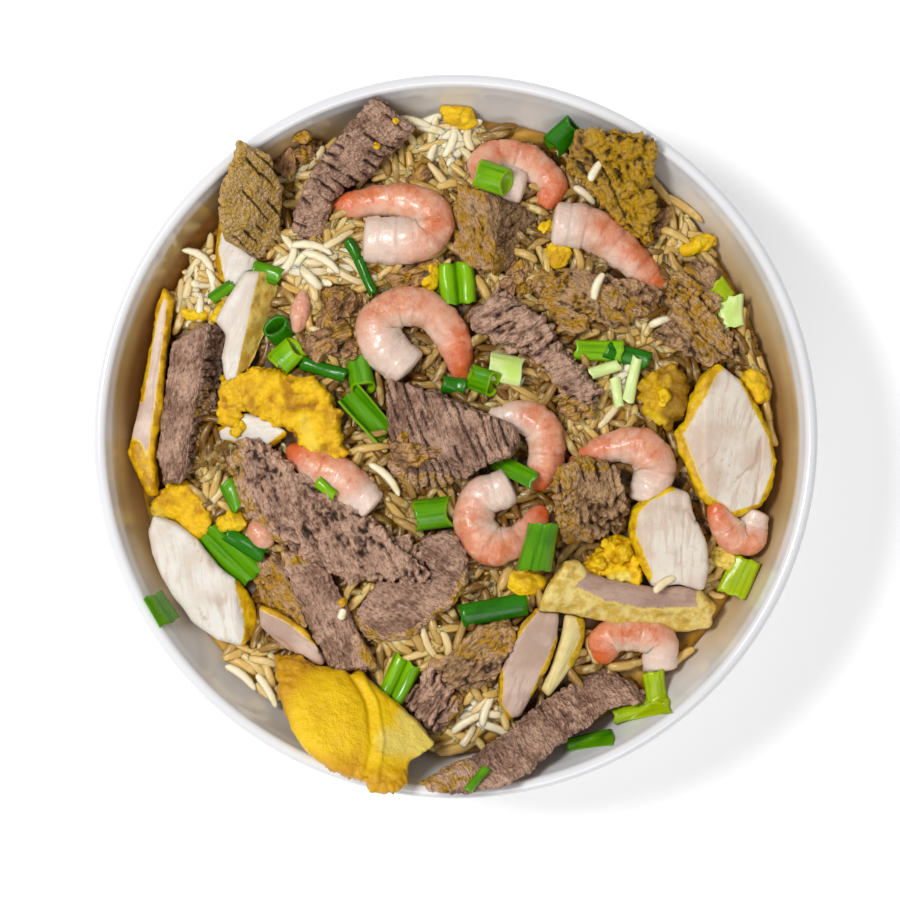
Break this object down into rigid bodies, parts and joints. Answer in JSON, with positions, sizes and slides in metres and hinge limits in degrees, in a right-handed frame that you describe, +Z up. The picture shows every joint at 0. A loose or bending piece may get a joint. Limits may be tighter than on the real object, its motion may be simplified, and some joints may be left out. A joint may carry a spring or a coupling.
{
  "type": "fried rice in a bowl",
  "caption": "Deep white bowl heaped with fried rice under sliced beef, curled shrimp, chicken, egg and cut scallions.",
  "frame": {"origin": "middle of the foot ring's underside, on the surface that the bowl stands on", "axes": "+Z up along the bowl's axis; +X to the right and +Y away from someone seen from above with the half egg at the lower left"},
  "size_m": [0.22, 0.22, 0.0897],
  "materials": {
    "porcelain": "white glaze, glossy",
    "rice": "cooked long grains, moist, ivory to tan",
    "beef": "cooked beef, fibrous, grey-brown with ochre stains",
    "shrimp": "cooked shrimp, moist, salmon pink with white ends",
    "chicken": "cooked chicken, cream with a yellow edge of skin",
    "skin": "fried chicken skin, golden yellow",
    "egg": "fried egg, yolk yellow",
    "scallion": "cut scallion, moist green"
  },
  "bodies": {
    "root": {"bowl": "porcelain", "rice_heap": "rice", "chicken_strip_left": "chicken", "chicken_bit_upper": "chicken", "beef_back_left": "beef", "chicken_wedge_left": "chicken", "beef_left": "beef", "skin_left": "skin", "chicken_slab_left": "chicken", "scallion_fold_left": "scallion", "beef_dark_lower": "beef", "chicken_strip_lower": "chicken", "scallion_twin_lower": "scallion", "egg_half": "egg", "beef_strip_lower": "beef", "beef_slice_lower": "beef", "chicken_bit_left": "chicken", "beef_long": "beef", "shrimp_low_left": "shrimp", "skin_arc": "skin", "scallion_left": "scallion", "beef_top": "beef", "shrimp_top_left": "shrimp", "beef_two_tone": "beef", "shrimp_top": "shrimp", "scallion_top": "scallion", "scallion_rim": "scallion", "beef_top_right": "beef", "beef_right": "beef", "beef_shreds": "beef", "shrimp_right_top": "shrimp", "beef_diagonal": "beef", "scallion_pale": "scallion", "scallion_short": "scallion", "scallion_folded": "scallion", "shrimp_mid_right": "shrimp", "beef_centre": "beef", "scallion_split": "scallion", "scallion_open": "scallion", "shrimp_centre": "shrimp", "egg_right": "egg", "chicken_strip_bottom": "chicken", "shrimp_bottom_right": "shrimp", "beef_bottom": "beef", "beef_ragged_low": "beef", "beef_gold_low": "beef", "scallion_dark": "scallion", "chicken_bottom": "chicken", "chicken_curved": "chicken", "egg_crumbs": "egg", "shrimp_right": "shrimp", "chicken_round": "chicken", "chicken_right": "chicken", "shrimp_far_right": "shrimp", "beef_block": "beef", "shrimp_low": "shrimp", "scallion_tube_low": "scallion", "scallion_half": "scallion", "scallion_flat": "scallion", "scallion_wall": "scallion"}
  },
  "joints": []
}
